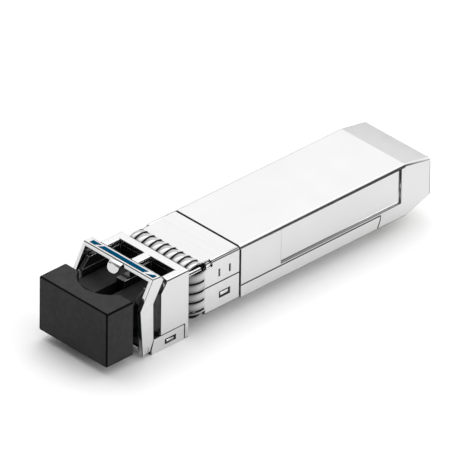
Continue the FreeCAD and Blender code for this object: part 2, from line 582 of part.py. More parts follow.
def latch_rocker():
    """Rocker whose boss locks the module in the cage and whose front arm the cam presses down."""
    body = new_body("rocker_plate")
    arm_top = "rocker_sheet + fixed_gap"
    side = [("-rocker_nose", "-rocker_low"), ("-rocker_nose", "-rocker_high"),
            ("-rocker_step", "-rocker_high"), ("-rocker_hub_front", "-rocker_pivot_z + hub_front_high"),
            ("-rocker_hub_rear", "-rocker_pivot_z + hub_rear_high"), ("-rocker_rise", arm_top),
            ("boss_end", arm_top), ("boss_end", "fixed_gap"), ("-rocker_rise + hub_slope", "fixed_gap"),
            ("-rocker_hub_rear + hub_flank", "-rocker_pivot_z"),
            ("-rocker_hub_rear - hub_slope", "-rocker_hub_low"),
            ("-rocker_hub_front + 2 * hub_flank", "-rocker_hub_low"),
            ("-rocker_hub_front - hub_slope", "-rocker_low")]
    pad(body, "x", both_ways("rocker_wide / 2"), side)
    boss = [("boss_start", "-boss_drop"), ("boss_end - boss_drop", "-boss_drop"),
            ("boss_end", "fixed_gap"), ("boss_end", arm_top), ("boss_start", arm_top)]
    pad(body, "x", both_ways("boss_wide / 2"), boss)
    return cut("latch_rocker_cut", body,
               [rod("rocker_bore", "x", "rocker_pin_radius + running_gap", both_ways("rocker_wide"),
                    ("-rocker_pivot_y", "-rocker_pivot_z"))])


def rocker_pin():
    return rod("rocker_pin_rod", "x", "rocker_pin_radius", both_ways(f"{PIN_HALF} - pin_play"),
               ("-rocker_pivot_y", "-rocker_pivot_z"))


def latch_spring():
    """Arched leaf between the liner's floor and the rocker's rear arm."""
    body = new_body("spring_leaf")
    low = "rocker_sheet + 2 * fixed_gap"
    high = f"{LINER_LOW} - fixed_gap"
    under = f"{high} - spring_sheet"
    side = [("spring_front", low), ("spring_front + spring_sheet", low),
            ("spring_top_front + spring_sheet / 2", under), ("spring_top_rear - spring_sheet / 2", under),
            ("spring_rear - spring_sheet", low), ("spring_rear", low),
            ("spring_top_rear", high), ("spring_top_front", high)]
    pad(body, "x", both_ways("spring_half"), side)
    return body


def bail_frame():
    """Bail: two cranked arms, the crossbar over the nose and the finger tab in front."""
    body = new_body("bail_plate")
    arm = [("-crossbar_front", "crossbar_top"), ("-arm_knee_y", "arm_knee_z"),
           ("-arm_toe_y", "-arm_toe_z"), ("-arm_heel_y", "-arm_heel_z"), ("-arm_hip_y", "arm_hip_z"),
           ("-arm_crank_y", "arm_crank_z"), ("-arm_back_y", "arm_back_z"),
           ("-crossbar_rear", "crossbar_top - crossbar_fall")]
    pad(body, "x", both_ways("bail_wide / 2"), arm)
    pocket(body, "z", ("-nose_drop", "crossbar_low"),
           rectangle(both_ways("bail_wide / 2 - arm_sheet"), ("-plug_out", "0")))
    root = "-crossbar_front + tongue_sheet"
    lip = "-crossbar_front - tongue_out"
    high = "crossbar_top - tongue_low"
    low = f"{high} - tongue_down"
    tab = [(root, high), (f"{lip} + tongue_bend", high),
           (f"{lip} + tongue_bend / 4", f"{high} - tongue_bend / 4"), (lip, f"{high} - tongue_bend"),
           (lip, low), (f"{lip} + tongue_sheet", low),
           (f"{lip} + tongue_sheet", f"{high} - tongue_bend - tongue_sheet / 4"),
           (f"{lip} + tongue_bend + tongue_sheet / 4", f"{high} - tongue_sheet"),
           (root, f"{high} - tongue_sheet")]
    pad(body, "x", both_ways("tongue_wide / 2"), tab)
    shaft = rod("bail_bores", "x", "bail_shaft_radius + fixed_gap", both_ways("bail_wide"),
                ("-bail_pivot_y", "-bail_pivot_z"))
    seats = [inlay_piece(f"inlay_seat_{k}", corners, "crossbar_top - inlay_deep", "crossbar_top + past")
             for k, corners in enumerate(INLAY_PLAN)]
    return cut("bail_frame_cut", body, [shaft] + seats)


def strip(front_left, front_right, rear_right, rear_left):
    """Plan of one strip between the front and the rear line of the inlay."""
    return [(front_left, "-inlay_front"), (front_right, "-inlay_front"),
            (rear_right, "-inlay_rear"), (rear_left, "-inlay_rear")]


INLAY_PLAN = [
    strip("strip_front_left", "strip_front_right", "strip_rear_right", "strip_rear_left"),
    strip("left_strip_end", "left_strip_front", "left_strip_rear", "left_strip_end"),
    strip("right_strip_front", "right_strip_end", "right_strip_end", "right_strip_rear"),
]


def inlay_piece(label, corners, low, high):
    body = new_body(label)
    pad(body, "z", (low, high), corners)
    return body


def bail_inlay():
    """Coloured strips set in the crossbar, which tell the kind of module."""
    strips = [inlay_piece(f"inlay_{k}", corners, "crossbar_top - inlay_deep", "crossbar_top")
              for k, corners in enumerate(INLAY_PLAN)]
    return group("inlay_strips", strips)


def bail_shaft():
    """Cross shaft of the bail, with the cam that presses the rocker's front arm."""
    shaft = rod("bail_shaft_rod", "x", "bail_shaft_radius", both_ways("bail_wide / 2 - running_gap"),
                ("-bail_pivot_y", "-bail_pivot_z"))
    cam = rod("bail_cam_lobe", "x", "cam_radius", both_ways("cam_wide / 2"),
              ("-bail_pivot_y - cam_throw", "-bail_pivot_z"))
    web = block("bail_cam_web", both_ways("cam_wide / 2"), ("-bail_pivot_y - cam_throw", "-bail_pivot_y"),
                ("-bail_pivot_z - cam_radius", "-bail_pivot_z + cam_radius"))
    return join("bail_shaft_join", [shaft, cam, web])


def dust_plug():
    """Plug for both ports: a block with a finger scoop and two prongs."""
    head = new_body("plug_head")
    pad(head, "z", ("-plug_low", "plug_high"),
        rectangle(both_ways("plug_wide / 2"), ("-plug_out", f"-{PLUG_BACK}")))
    scoop = cut("plug_scooped", head, [rod("plug_scoop", "z", "scoop_radius",
                                           ("scoop_floor", "plug_high + past"),
                                           ("0", f"-{PLUG_BACK} + scoop_back"))])
    prongs = [block(f"prong_{side + 1}",
                    span_about(f"{side} * port_pitch / 2", "port_wide - 2 * prong_gap"),
                    (f"-{PLUG_BACK} - prong_lap", "0"), span_about("port_axis", "prong_tall"))
              for side in (-1, 1)]
    return join("dust_plug_join", [scoop] + prongs)


# --- optics -----------------------------------------------------------------------------------

def barrel(side):
    """Steel receptacle barrel with its flange, behind one port."""
    centre = (f"{side} * port_pitch / 2", "port_axis")
    tube = rod("barrel_tube", "y", "barrel_radius", ("barrel_start", "barrel_end"), centre)
    flange = rod("barrel_flange", "y", "flange_radius", ("flange_start", "flange_start + flange_long"),
                 centre)
    bore = rod("barrel_inside", "y", "sleeve_radius + fixed_gap",
               ("barrel_start - past", "barrel_end - barrel_cap"), centre)
    return cut("barrel_cut", join("barrel_join", [tube, flange]), [bore])


def split_sleeve(side):
    """Ceramic sleeve that lines up the connector's ferrule, split along its side."""
    centre = (f"{side} * port_pitch / 2", "port_axis")
    start = "barrel_start + sleeve_inset"
    tube = rod("sleeve_tube", "y", "sleeve_radius", (start, f"{start} + sleeve_long"), centre)
    bore = rod("sleeve_bore", "y", "ferrule_radius", ("0", f"{start} + sleeve_long + past"), centre)
    slit = block("sleeve_slit", span_about(centre[0], "sleeve_slit"),
                 ("0", f"{start} + sleeve_long + past"), ("port_axis", "port_axis + 2 * past"))
    return cut("sleeve_cut", tube, [bore, slit])


def fibre_stub(side):
    """Ceramic stub fixed in the rear of the barrel, facing the laser or the detector."""
    centre = (f"{side} * port_pitch / 2", "port_axis")
    start = "barrel_start + sleeve_inset + sleeve_long + running_gap"
    return rod("stub_rod", "y", "sleeve_radius", (start, "barrel_end - barrel_cap - running_gap"), centre)


def optical_can(side):
    """Welded can of the laser or detector with its square header."""
    centre = (f"{side} * port_pitch / 2", "port_axis")
    can = rod("can_body", "y", "can_radius", ("barrel_end + fixed_gap", "can_end"), centre)
    header = block("can_header", span_about(centre[0], "header_side"), ("can_end - lap", "header_end"),
                   span_about("port_axis", "header_side"))
    return join("can_join", [can, header])


def flex_circuit(side):
    """Flexible circuit from a can's header down to the board."""
    body = new_body("flex_sheet_body")
    low = f"{BOARD_TOP} + chip_gap"
    back = "header_end + chip_gap"
    side_view = [(back, "port_axis + flex_top"), (back, low), ("board_start + flex_lap", low),
                 ("board_start + flex_lap", f"{low} + flex_sheet"),
                 (f"{back} + flex_sheet + flex_corner", f"{low} + flex_sheet"),
                 (f"{back} + flex_sheet", f"{low} + flex_sheet + flex_corner"),
                 (f"{back} + flex_sheet", "port_axis + flex_top")]
    pad(body, "x", span_about(f"{side} * port_pitch / 2", "flex_wide"), side_view)
    return body


def osa_clamp():
    """Clamp plate that holds both barrels behind the liner."""
    start = "flange_start + flange_long + fixed_gap"
    plate = block("clamp_plate", both_ways(f"{CLAMP_HALF} - clamp_gap"), (start, f"{start} + clamp_long"),
                  ("clamp_low", "clamp_high"))
    bores = [rod(f"clamp_bore_{side + 1}", "y", "barrel_radius + fixed_gap", ("0", "barrel_end + past"),
                 (f"{side} * port_pitch / 2", "port_axis")) for side in (-1, 1)]
    return cut("osa_clamp_cut", plate, bores)


# --- electronics ------------------------------------------------------------------------------

def main_board():
    """Circuit board with the narrow card edge at the rear and two holes for the cover's posts."""
    body = new_body("board_plate")
    start, end = "board_start", BOARD_END
    neck = f"{BOARD_END} - card_long"
    wide, card = "board_wide / 2", "card_wide / 2"
    shoulder, bevel = f"{neck} + card_shoulder", f"{end} - card_bevel"
    plan = [(f"-{wide}", start), (wide, start), (wide, neck), (card, shoulder), (card, bevel),
            (f"{card} - card_bevel", end), (f"-{card} + card_bevel", end), (f"-{card}", bevel),
            (f"-{card}", shoulder), (f"-{wide}", neck)]
    pad(body, "z", ("board_low", BOARD_TOP), plan)
    holes = [rod(f"board_hole_{k}", "z", "post_radius + post_gap", ("0", "body_tall"), ("0", spot))
             for k, spot in enumerate(("post_front", "post_rear"))]
    return cut("main_board_cut", body, holes)


def edge_contacts():
    """Gold pads on both faces of the card edge."""
    pads = []
    for face, z in enumerate((("board_low - pad_thick", "board_low"),
                              (BOARD_TOP, f"{BOARD_TOP} + pad_thick"))):
        for k in range(PADS):
            pads.append(block(f"pad_{face}_{k}",
                              span_about(f"({k} - {(PADS - 1) / 2}) * pad_pitch", "pad_wide"),
                              (f"{BOARD_END} - pad_inset - pad_long", f"{BOARD_END} - pad_inset"), z))
    return group("pad_group", pads)


def chip(label, x, y, wide, long, tall):
    """A moulded package with a draft round its upper half, standing on the board."""
    low = f"{BOARD_TOP} + chip_gap"
    foot = block(label + "_foot", span_about(x, wide), span_about(y, long),
                 (low, f"{low} + {tall} / 2"))
    lid = block(label + "_lid", span_about(x, f"{wide} - 2 * chip_draft"),
                span_about(y, f"{long} - 2 * chip_draft"), (f"{low} + {tall} / 2", f"{low} + {tall}"))
    return join(label + "_package", [foot, lid])


def chip_array(label, spots, wide, long, tall):
    """Small parts of one kind, standing on the board as separate solids."""
    low = f"{BOARD_TOP} + chip_gap"
    return group(label + "_group",
                 [block(f"{label}_{k}", span_about(x, wide), span_about(y, long), (low, f"{low} + {tall}"))
                  for k, (x, y) in enumerate(spots)])


def two_rows(x, pitch):
    """Places of small parts in a row along each side of the board."""
    return [(f"{side} * {x}", f"row_start + {k} * {pitch}") for side in (-1, 1) for k in range(ROW_PARTS)]


def thermal_pad():
    """Soft pad between the driver and the cover's pedestal."""
    low = f"{BOARD_TOP} + 2 * chip_gap + chip_tall"
    return block("pad_block", both_ways("driver_side / 2"),
                 ("driver_y - driver_side / 2", "driver_y + driver_side / 2"),
                 (low, "pedestal_low - chip_gap"))


def absorber_sheet():
    """Microwave absorber stuck under the roof between the pedestal and the rear post."""
    return block("absorber_block", both_ways(f"{INNER} - absorber_inset"),
                 ("driver_y + driver_side / 2 + absorber_front",
                  "post_rear - post_radius - absorber_rear"),
                 (f"{ROOF_LOW} - absorber_thick - chip_gap", f"{ROOF_LOW} - chip_gap"))


def cover_screws():
    """Two screws from below, through the tray into the cover's posts."""
    screws = []
    for k, spot in enumerate(("post_front", "post_rear")):
        head_top = "screw_inset + screw_head_tall - fixed_gap"
        head = rod(f"screw_head_{k}", "z", "screw_head_radius", ("screw_inset", head_top), ("0", spot))
        shank = rod(f"screw_shank_{k}", "z", "screw_radius", ("screw_inset", f"{head_top} + screw_long"),
                    ("0", spot))
        drive = rod(f"screw_drive_{k}", "z", "drive_radius", ("0", "screw_inset + drive_deep"),
                    ("0", spot))
        screws.append(cut(f"screw_{k}", join(f"screw_blank_{k}", [head, shank]), [drive]))
    return group("screw_group", screws)


node("base_housing", base_housing())
node("top_cover", top_cover())
node("emi_collar_upper", collar_half("collar_upper", ("collar_split + split_gap / 2", "body_tall * 2")))
node("emi_collar_lower", collar_half("collar_lower", ("-body_tall", "collar_split - split_gap / 2")))
node("port_liner", port_liner())
node("latch_bracket", latch_bracket())
node("latch_rocker", latch_rocker())
node("rocker_pin", rocker_pin())
node("latch_spring", latch_spring())
node("bail_frame", bail_frame())
node("bail_inlay", bail_inlay())
node("bail_shaft", bail_shaft())
node("dust_plug", dust_plug())
for kind, side in (("tx", -1), ("rx", 1)):
    node(f"{kind}_receptacle_barrel", barrel(side))
    node(f"{kind}_split_sleeve", split_sleeve(side))
    node(f"{kind}_fibre_stub", fibre_stub(side))
    node("laser_can" if kind == "tx" else "detector_can", optical_can(side))
    node(f"{kind}_flex_circuit", flex_circuit(side))
node("osa_clamp", osa_clamp())
node("main_board", main_board())
node("edge_contacts", edge_contacts())
node("laser_driver_chip", chip("driver", "0", "driver_y", "driver_side", "driver_side", "chip_tall"))
node("receiver_chip", chip("receiver", "receiver_x", "receiver_y", "receiver_side", "receiver_side",
                           "chip_tall"))
node("controller_chip", chip("controller", "controller_x", "controller_y", "controller_side",
                             "controller_side", "chip_tall"))
node("memory_chip", chip("memory", "memory_x", "memory_y", "memory_wide", "memory_long", "memory_tall"))
node("clock_crystal", chip("crystal", "crystal_x", "crystal_y", "crystal_wide", "crystal_long",
                           "crystal_tall"))
node("power_inductors", chip_array("inductor", [("inductor_x", "inductor_front"),
                                                ("inductor_x", "inductor_rear"),
                                                ("-inductor_x", "inductor_rear")],
                                   "inductor_wide", "inductor_long", "inductor_tall"))
node("capacitors", chip_array("capacitor", two_rows("capacitor_x", "capacitor_pitch"),
                              "capacitor_wide", "capacitor_long", "capacitor_tall"))
node("resistors", chip_array("resistor", two_rows("resistor_x", "resistor_pitch"),
                             "resistor_wide", "resistor_long", "resistor_tall"))
node("driver_thermal_pad", thermal_pad())
node("absorber_sheet", absorber_sheet())
node("cover_screws", cover_screws())
doc.recompute()


def check_model():
    """Stop before anything is written if a feature failed or a piece has no sound shape."""
    failed = [f"{item.Label} {item.State}" for item in doc.Objects
              if "Invalid" in item.State or "Error" in item.State]
    failed += [f"{name} has no valid shape" for name, item in nodes.items()
               if item.Shape.isNull() or not item.Shape.isValid() or not item.Shape.Solids]
    if failed:
        raise RuntimeError("; ".join(failed))


check_model()
os.makedirs("parts", exist_ok=True)
for name, item in nodes.items():
    item.Shape.exportStep(f"parts/{name}.step")
print(len(nodes), "nodes,", sum(len(item.Shape.Solids) for item in nodes.values()), "solids")
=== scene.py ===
import json
import math

import bmesh
import bpy
from mathutils import Matrix, Vector


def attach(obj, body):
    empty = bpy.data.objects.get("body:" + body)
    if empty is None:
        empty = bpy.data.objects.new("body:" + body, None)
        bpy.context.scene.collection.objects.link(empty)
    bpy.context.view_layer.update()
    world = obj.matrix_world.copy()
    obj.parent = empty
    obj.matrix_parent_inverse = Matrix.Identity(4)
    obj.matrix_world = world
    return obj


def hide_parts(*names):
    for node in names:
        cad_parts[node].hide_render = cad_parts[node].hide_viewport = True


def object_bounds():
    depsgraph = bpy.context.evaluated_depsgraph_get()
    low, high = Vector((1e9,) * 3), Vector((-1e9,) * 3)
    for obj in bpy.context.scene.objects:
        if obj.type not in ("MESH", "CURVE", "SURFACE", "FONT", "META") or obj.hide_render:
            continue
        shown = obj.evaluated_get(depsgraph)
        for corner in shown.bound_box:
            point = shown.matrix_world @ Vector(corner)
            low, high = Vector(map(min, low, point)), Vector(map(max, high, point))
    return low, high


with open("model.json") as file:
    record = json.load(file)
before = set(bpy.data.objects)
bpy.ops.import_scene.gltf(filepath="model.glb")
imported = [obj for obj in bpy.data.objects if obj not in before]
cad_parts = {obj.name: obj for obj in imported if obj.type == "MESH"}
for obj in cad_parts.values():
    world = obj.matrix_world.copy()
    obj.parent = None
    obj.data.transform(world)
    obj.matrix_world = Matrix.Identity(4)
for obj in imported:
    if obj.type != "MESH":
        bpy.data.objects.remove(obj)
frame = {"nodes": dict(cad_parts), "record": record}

cad_box = [list(corner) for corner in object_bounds()]
MM = 0.001
NODES = frame["nodes"]
# material slots: the plain finish, and painted shade or painted glints on edges
PLAIN, EDGE = 0, 1

# The module's own places, in millimetres: along it from the stop shoulder, up from the shell's
# underside, and across from its middle.
STOP = -15.9            # the stop shoulder's place along the scene
DROP = 1.93             # height of the shell's underside above the nose's
SHELL_MIDDLE = 4.25
ROOF_BEND = 7.9         # height at which the roof's long corners start
NECK_HALF = 6.58
NECK_TOP = 8.3
NECK_END = 10.3
OPEN_CORNER = (5.0, 2.7, 4.8)    # across, up from the shell's middle, and along to its end
FINGER_ROOT = 3.5
FINGER_TIP = 0.4
SLOT_START = 2.6
SLOT_SHADE = (0.25, 0.7)  # painted shade beside a slot, from the middle of a finger
TIP_SHADE = 0.95         # share of the colour darkened at a finger's tip, as painted shade
SLOT_SHADE_SHARE = 0.4         # and beside its slot, also painted shade
COLLAR_BEND_START = 3.3  # the collar's corners are bent sheet behind this place
ROOF_PITCH = 1.46
SIDE_PITCH = 1.55
SIDE_SLOT = 1.4         # height of the lowest slot between the side fingers
TAIL_START = 42.6
SHAFT = (-8.2, -0.6)    # the bail's shaft, along and up
EYE_RADIUS = 0.6
TAB_HALF = 1.15
TAB_ROOT = (-7.2, 10.33)
TAB_FRONT = -7.1        # the designed tab stands in front of this place
TAB_SPACE = 1.27        # and within this distance from the middle
TAB_ROLL = 0.75
TAB_DROP = 1.05
TAB_CORNER = 0.95
TAB_SHEET = 0.3
TAB_TURN = math.radians(62)
SHARP = math.radians(28)
CREASE = math.radians(6)
NEAR = 0.02             # an edge this close to a place is taken to lie on it
TOUCH = 1e-6            # corners closer than this, in metres, are joined
BEVEL_SEGMENTS = 2
FACE_WEIGHT = 90


# ---- materials -------------------------------------------------------------------------------

def new_material(name, colour, metallic=0.0, roughness=0.5):
    """A principled material with its object coordinates at hand."""
    material = bpy.data.materials.new(name)
    material.use_nodes = True
    tree = material.node_tree
    shader = tree.nodes["Principled BSDF"]
    shader.inputs["Base Color"].default_value = (*colour, 1.0)
    shader.inputs["Metallic"].default_value = metallic
    shader.inputs["Roughness"].default_value = roughness
    coords = tree.nodes.new("ShaderNodeTexCoord")
    return material, tree, shader, coords.outputs["Object"]


def noise(tree, source, scale, detail=3.0, stretch=(1.0, 1.0, 1.0)):
    """Noise over the object's own coordinates; scale is in features per metre."""
    mapping = tree.nodes.new("ShaderNodeMapping")
    mapping.inputs["Scale"].default_value = stretch
    tree.links.new(source, mapping.inputs["Vector"])
    texture = tree.nodes.new("ShaderNodeTexNoise")
    texture.inputs["Scale"].default_value = scale
    texture.inputs["Detail"].default_value = detail
    tree.links.new(mapping.outputs["Vector"], texture.inputs["Vector"])
    return texture.outputs["Fac"]


def spread(tree, fac, low, high):
    """Carry a noise value to a range."""
    node = tree.nodes.new("ShaderNodeMapRange")
    node.inputs["From Min"].default_value = 0.3
    node.inputs["From Max"].default_value = 0.7
    node.inputs["To Min"].default_value = low
    node.inputs["To Max"].default_value = high
    tree.links.new(fac, node.inputs["Value"])
    return node.outputs["Result"]


def blend(tree, amount, first, colour):
    """Carry a colour value towards a plain colour by an amount from 0 to 1."""
    node = tree.nodes.new("ShaderNodeMix")
    node.data_type = "RGBA"
    node.inputs[7].default_value = (*colour, 1.0)
    tree.links.new(amount, node.inputs[0])
    tree.links.new(first, node.inputs[6])
    return node.outputs[2]


def tint(tree, fac, first, second):
    """Mix two colours by a value."""
    node = tree.nodes.new("ShaderNodeMix")
    node.data_type = "RGBA"
    node.inputs[6].default_value = (*first, 1.0)
    node.inputs[7].default_value = (*second, 1.0)
    tree.links.new(fac, node.inputs[0])
    return node.outputs[2]


def dent(tree, shader, fac, strength, depth):
    """Fine relief on the surface."""
    node = tree.nodes.new("ShaderNodeBump")
    node.inputs["Strength"].default_value = strength
    node.inputs["Distance"].default_value = depth
    tree.links.new(fac, node.inputs["Height"])
    tree.links.new(node.outputs["Normal"], shader.inputs["Normal"])


def ramp_over(tree, value, start, end):
    """A value that runs from 0 to 1 between two places."""
    node = tree.nodes.new("ShaderNodeMapRange")
    node.inputs["From Min"].default_value = start
    node.inputs["From Max"].default_value = end
    tree.links.new(value, node.inputs["Value"])
    return node.outputs["Result"]


def maths(tree, operation, first, second):
    """One sum on two values, either of which may be a plain number."""
    node = tree.nodes.new("ShaderNodeMath")
    node.operation = operation
    for socket, value in zip(node.inputs, (first, second)):
        if isinstance(value, (int, float)):
            socket.default_value = value
        else:
            tree.links.new(value, socket)
    return node.outputs["Value"]


def both(tree, first, second):
    """1 where two tests hold together."""
    return maths(tree, "MULTIPLY", first, second)


def axes(tree, place):
    """The three object coordinates as separate values."""
    node = tree.nodes.new("ShaderNodeSeparateXYZ")
    tree.links.new(place, node.inputs["Vector"])
    return node.outputs["X"], node.outputs["Y"], node.outputs["Z"]


def collar_shade_mask(tree, place):
    """Where shade is painted: 1 on the neck beneath the collar and in its seam, 0 elsewhere and
    in the corner slots.
    """
    across, along, up = axes(tree, place)
    across = maths(tree, "ABSOLUTE", across, 0.0)
    height = maths(tree, "SUBTRACT", up, (DROP + SHELL_MIDDLE) * MM)
    height = maths(tree, "ABSOLUTE", height, 0.0)
    inside = both(tree, maths(tree, "LESS_THAN", across, NECK_HALF * MM),
                  maths(tree, "GREATER_THAN", along, STOP * MM))
    inside = both(tree, inside, maths(tree, "LESS_THAN", along, (STOP + NECK_END) * MM))
    inside = both(tree, inside, maths(tree, "LESS_THAN", up, (DROP + NECK_TOP) * MM))
    out, above, end = OPEN_CORNER
    corner = both(tree, maths(tree, "GREATER_THAN", across, out * MM),
                  maths(tree, "GREATER_THAN", height, above * MM))
    corner = both(tree, corner, maths(tree, "LESS_THAN", along, (STOP + end) * MM))
    return both(tree, inside, maths(tree, "SUBTRACT", 1.0, corner))


def satin_nickel():
    """Nickel plate on a bead-blasted zinc casting, with painted shade on the neck under the
    collar and in its seam.
    """
    material, tree, shader, place = new_material("satin_nickel", (0.8, 0.8, 0.8), 1.0, 0.3)
    cloud = spread(tree, noise(tree, place, 160, 4), 0.0, 1.0)
    plated = tint(tree, cloud, (0.655, 0.655, 0.655), (0.68, 0.68, 0.68))
    # painted shade: the neck under the collar and its seam darkened nearly to black
    plated = blend(tree, collar_shade_mask(tree, place), plated, (0.02, 0.02, 0.02))
    tree.links.new(plated, shader.inputs["Base Color"])
    gloss = spread(tree, noise(tree, place, 700, 5), 0.17, 0.2)
    tree.links.new(gloss, shader.inputs["Roughness"])
    dent(tree, shader, noise(tree, place, 9000, 2), 0.03, 0.01 * MM)
    return material


def finger_shade_paint(tree, place):
    """Painted shade on the spring fingers: darker towards their tips and beside their slots."""
    across, along, up = axes(tree, place)
    tips = ramp_over(tree, along, (STOP + FINGER_ROOT) * MM, (STOP + FINGER_TIP) * MM)
    on_roof = maths(tree, "GREATER_THAN", up, (DROP + ROOF_BEND) * MM)
    roof_slots = maths(tree, "PINGPONG", across, ROOF_PITCH / 2 * MM)
    side = maths(tree, "SUBTRACT", up, (DROP + SIDE_SLOT - SIDE_PITCH / 2) * MM)
    side_slots = maths(tree, "PINGPONG", side, SIDE_PITCH / 2 * MM)
    slots = tree.nodes.new("ShaderNodeMix")
    tree.links.new(on_roof, slots.inputs[0])
    tree.links.new(side_slots, slots.inputs[2])
    tree.links.new(roof_slots, slots.inputs[3])
    beside = ramp_over(tree, slots.outputs[0], SLOT_SHADE[0] * MM, SLOT_SHADE[1] * MM)
    slotted = ramp_over(tree, along, (STOP + FINGER_ROOT) * MM, (STOP + SLOT_START) * MM)
    beside = maths(tree, "MULTIPLY", both(tree, beside, slotted), SLOT_SHADE_SHARE)
    total = maths(tree, "ADD", maths(tree, "MULTIPLY", tips, TIP_SHADE), beside)
    return maths(tree, "MINIMUM", total, TIP_SHADE)


def bright_nickel(name, fingers=False):
    """Bright nickel plate on rolled spring sheet, with painted shade on the spring fingers when
    fingers is set.
    """
    material, tree, shader, place = new_material(name, (0.8, 0.8, 0.8), 1.0, 0.2)
    grain = noise(tree, place, 900, 4, (0.06, 1.0, 1.0))
    rolled = tint(tree, spread(tree, grain, 0.0, 1.0), (0.655, 0.655, 0.66), (0.68, 0.68, 0.68))
    if fingers:
        # painted shade: the fingers' colour darkened towards their tips and beside their slots
        rolled = blend(tree, finger_shade_paint(tree, place), rolled, (0.12, 0.12, 0.12))
    tree.links.new(rolled, shader.inputs["Base Color"])
    tree.links.new(spread(tree, grain, 0.1, 0.14), shader.inputs["Roughness"])
    dent(tree, shader, grain, 0.02, 0.01 * MM)
    return material


def matte_charcoal():
    """Matte moulded elastomer of the dust plug, with a fine spark-eroded grain."""
    material, tree, shader, place = new_material("matte_charcoal", (0.012, 0.012, 0.0125))
    shader.inputs["Specular IOR Level"].default_value = 0.25
    cloud = spread(tree, noise(tree, place, 220, 3), 0.0, 1.0)
    moulded = tint(tree, cloud, (0.0105, 0.0105, 0.011), (0.0145, 0.0145, 0.015))
    tree.links.new(moulded, shader.inputs["Base Color"])
    gloss = spread(tree, noise(tree, place, 1500, 3), 0.55, 0.68)
    tree.links.new(gloss, shader.inputs["Roughness"])
    dent(tree, shader, noise(tree, place, 6000, 2), 0.25, 0.03 * MM)
    return material


def gloss_black():
    """Polished black moulding of the port liner."""
    material, tree, shader, place = new_material("gloss_black", (0.008, 0.008, 0.009), 0.0, 0.12)
    gloss = spread(tree, noise(tree, place, 900, 3), 0.08, 0.2)
    tree.links.new(gloss, shader.inputs["Roughness"])
    dent(tree, shader, noise(tree, place, 1200, 2), 0.1, 0.03 * MM)
    return material


def blue_enamel():
    """Blue enamel in the crossbar's recesses."""
    material, tree, shader, place = new_material("blue_enamel", (0.01, 0.1, 0.27), 1.0, 0.3)
    shader.inputs["Specular Tint"].default_value = (0.0, 0.45, 0.7, 1.0)
    cloud = spread(tree, noise(tree, place, 1400, 3), 0.0, 1.0)
    glaze = tint(tree, cloud, (0.001, 0.05, 0.102), (0.002, 0.056, 0.114))
    tree.links.new(glaze, shader.inputs["Base Color"])
    gloss = spread(tree, noise(tree, place, 2500, 3), 0.3, 0.42)
    tree.links.new(gloss, shader.inputs["Roughness"])
    dent(tree, shader, noise(tree, place, 4000, 2), 0.1, 0.02 * MM)
    return material


def speckled(name, first, second, metallic, low, high, scale=1200):
    """A finish whose colour and gloss change slightly over its surface."""
    material, tree, shader, place = new_material(name, first, metallic, low)
    cloud = spread(tree, noise(tree, place, scale, 3), 0.0, 1.0)
    tree.links.new(tint(tree, cloud, first, second), shader.inputs["Base Color"])
    gloss = spread(tree, noise(tree, place, scale * 2, 3), low, high)
    tree.links.new(gloss, shader.inputs["Roughness"])
    dent(tree, shader, noise(tree, place, scale * 5, 2), 0.1, 0.02 * MM)
    return material


casting = satin_nickel()
# painted shade: a dark finish for rolled edges and fillets, which draws them as dark lines
edge_shade = speckled("edge_shade", (0.04, 0.04, 0.04), (0.06, 0.06, 0.06), 1.0, 0.3, 0.4)
# painted glints: a lighter grey on the port liner's rolled edges
glint_edge = speckled("glint_edge", (0.16, 0.16, 0.16), (0.3, 0.3, 0.3), 0.8, 0.1, 0.16)
# painted shade: a near-black finish with little shine on the dust plug's rolled edges
plug_edge_shade = speckled("plug_edge_shade", (0.002, 0.002, 0.002), (0.003, 0.003, 0.003),
                         0.0, 0.8, 0.9)
plug_edge_shader = plug_edge_shade.node_tree.nodes["Principled BSDF"]
plug_edge_shader.inputs["Specular IOR Level"].default_value = 0.05
sheet_metal = bright_nickel("bright_nickel")
# the collar sheet, with painted shade on its fingers
shaded_finger_metal = bright_nickel("shaded_finger_nickel", True)
rubber = matte_charcoal()
liner_plastic = gloss_black()
enamel = blue_enamel()
steel = speckled("ground_steel", (0.55, 0.55, 0.56), (0.62, 0.62, 0.63), 1.0, 0.2, 0.32)
zirconia = speckled("zirconia", (0.82, 0.81, 0.76), (0.88, 0.87, 0.83), 0.0, 0.12, 0.2)
gold = speckled("gold_plate", (0.80, 0.58, 0.24), (0.86, 0.64, 0.3), 1.0, 0.18, 0.3)
film = speckled("amber_film", (0.5, 0.22, 0.03), (0.58, 0.27, 0.05), 0.0, 0.2, 0.35)
mask = speckled("green_solder_mask", (0.01, 0.09, 0.035), (0.014, 0.115, 0.045), 0.0, 0.3, 0.42)
epoxy = speckled("black_epoxy", (0.018, 0.018, 0.019), (0.026, 0.026, 0.027), 0.0, 0.5, 0.65)
ceramic = speckled("fired_ceramic", (0.3, 0.2, 0.12), (0.36, 0.25, 0.16), 0.0, 0.35, 0.5)
ferrite = speckled("ferrite", (0.07, 0.07, 0.072), (0.1, 0.1, 0.1), 0.0, 0.5, 0.7)
gap_filler = speckled("gap_filler", (0.3, 0.36, 0.5), (0.34, 0.4, 0.54), 0.0, 0.6, 0.75)
absorber = speckled("absorber_rubber", (0.03, 0.03, 0.03), (0.045, 0.045, 0.045), 0.0, 0.7, 0.85)

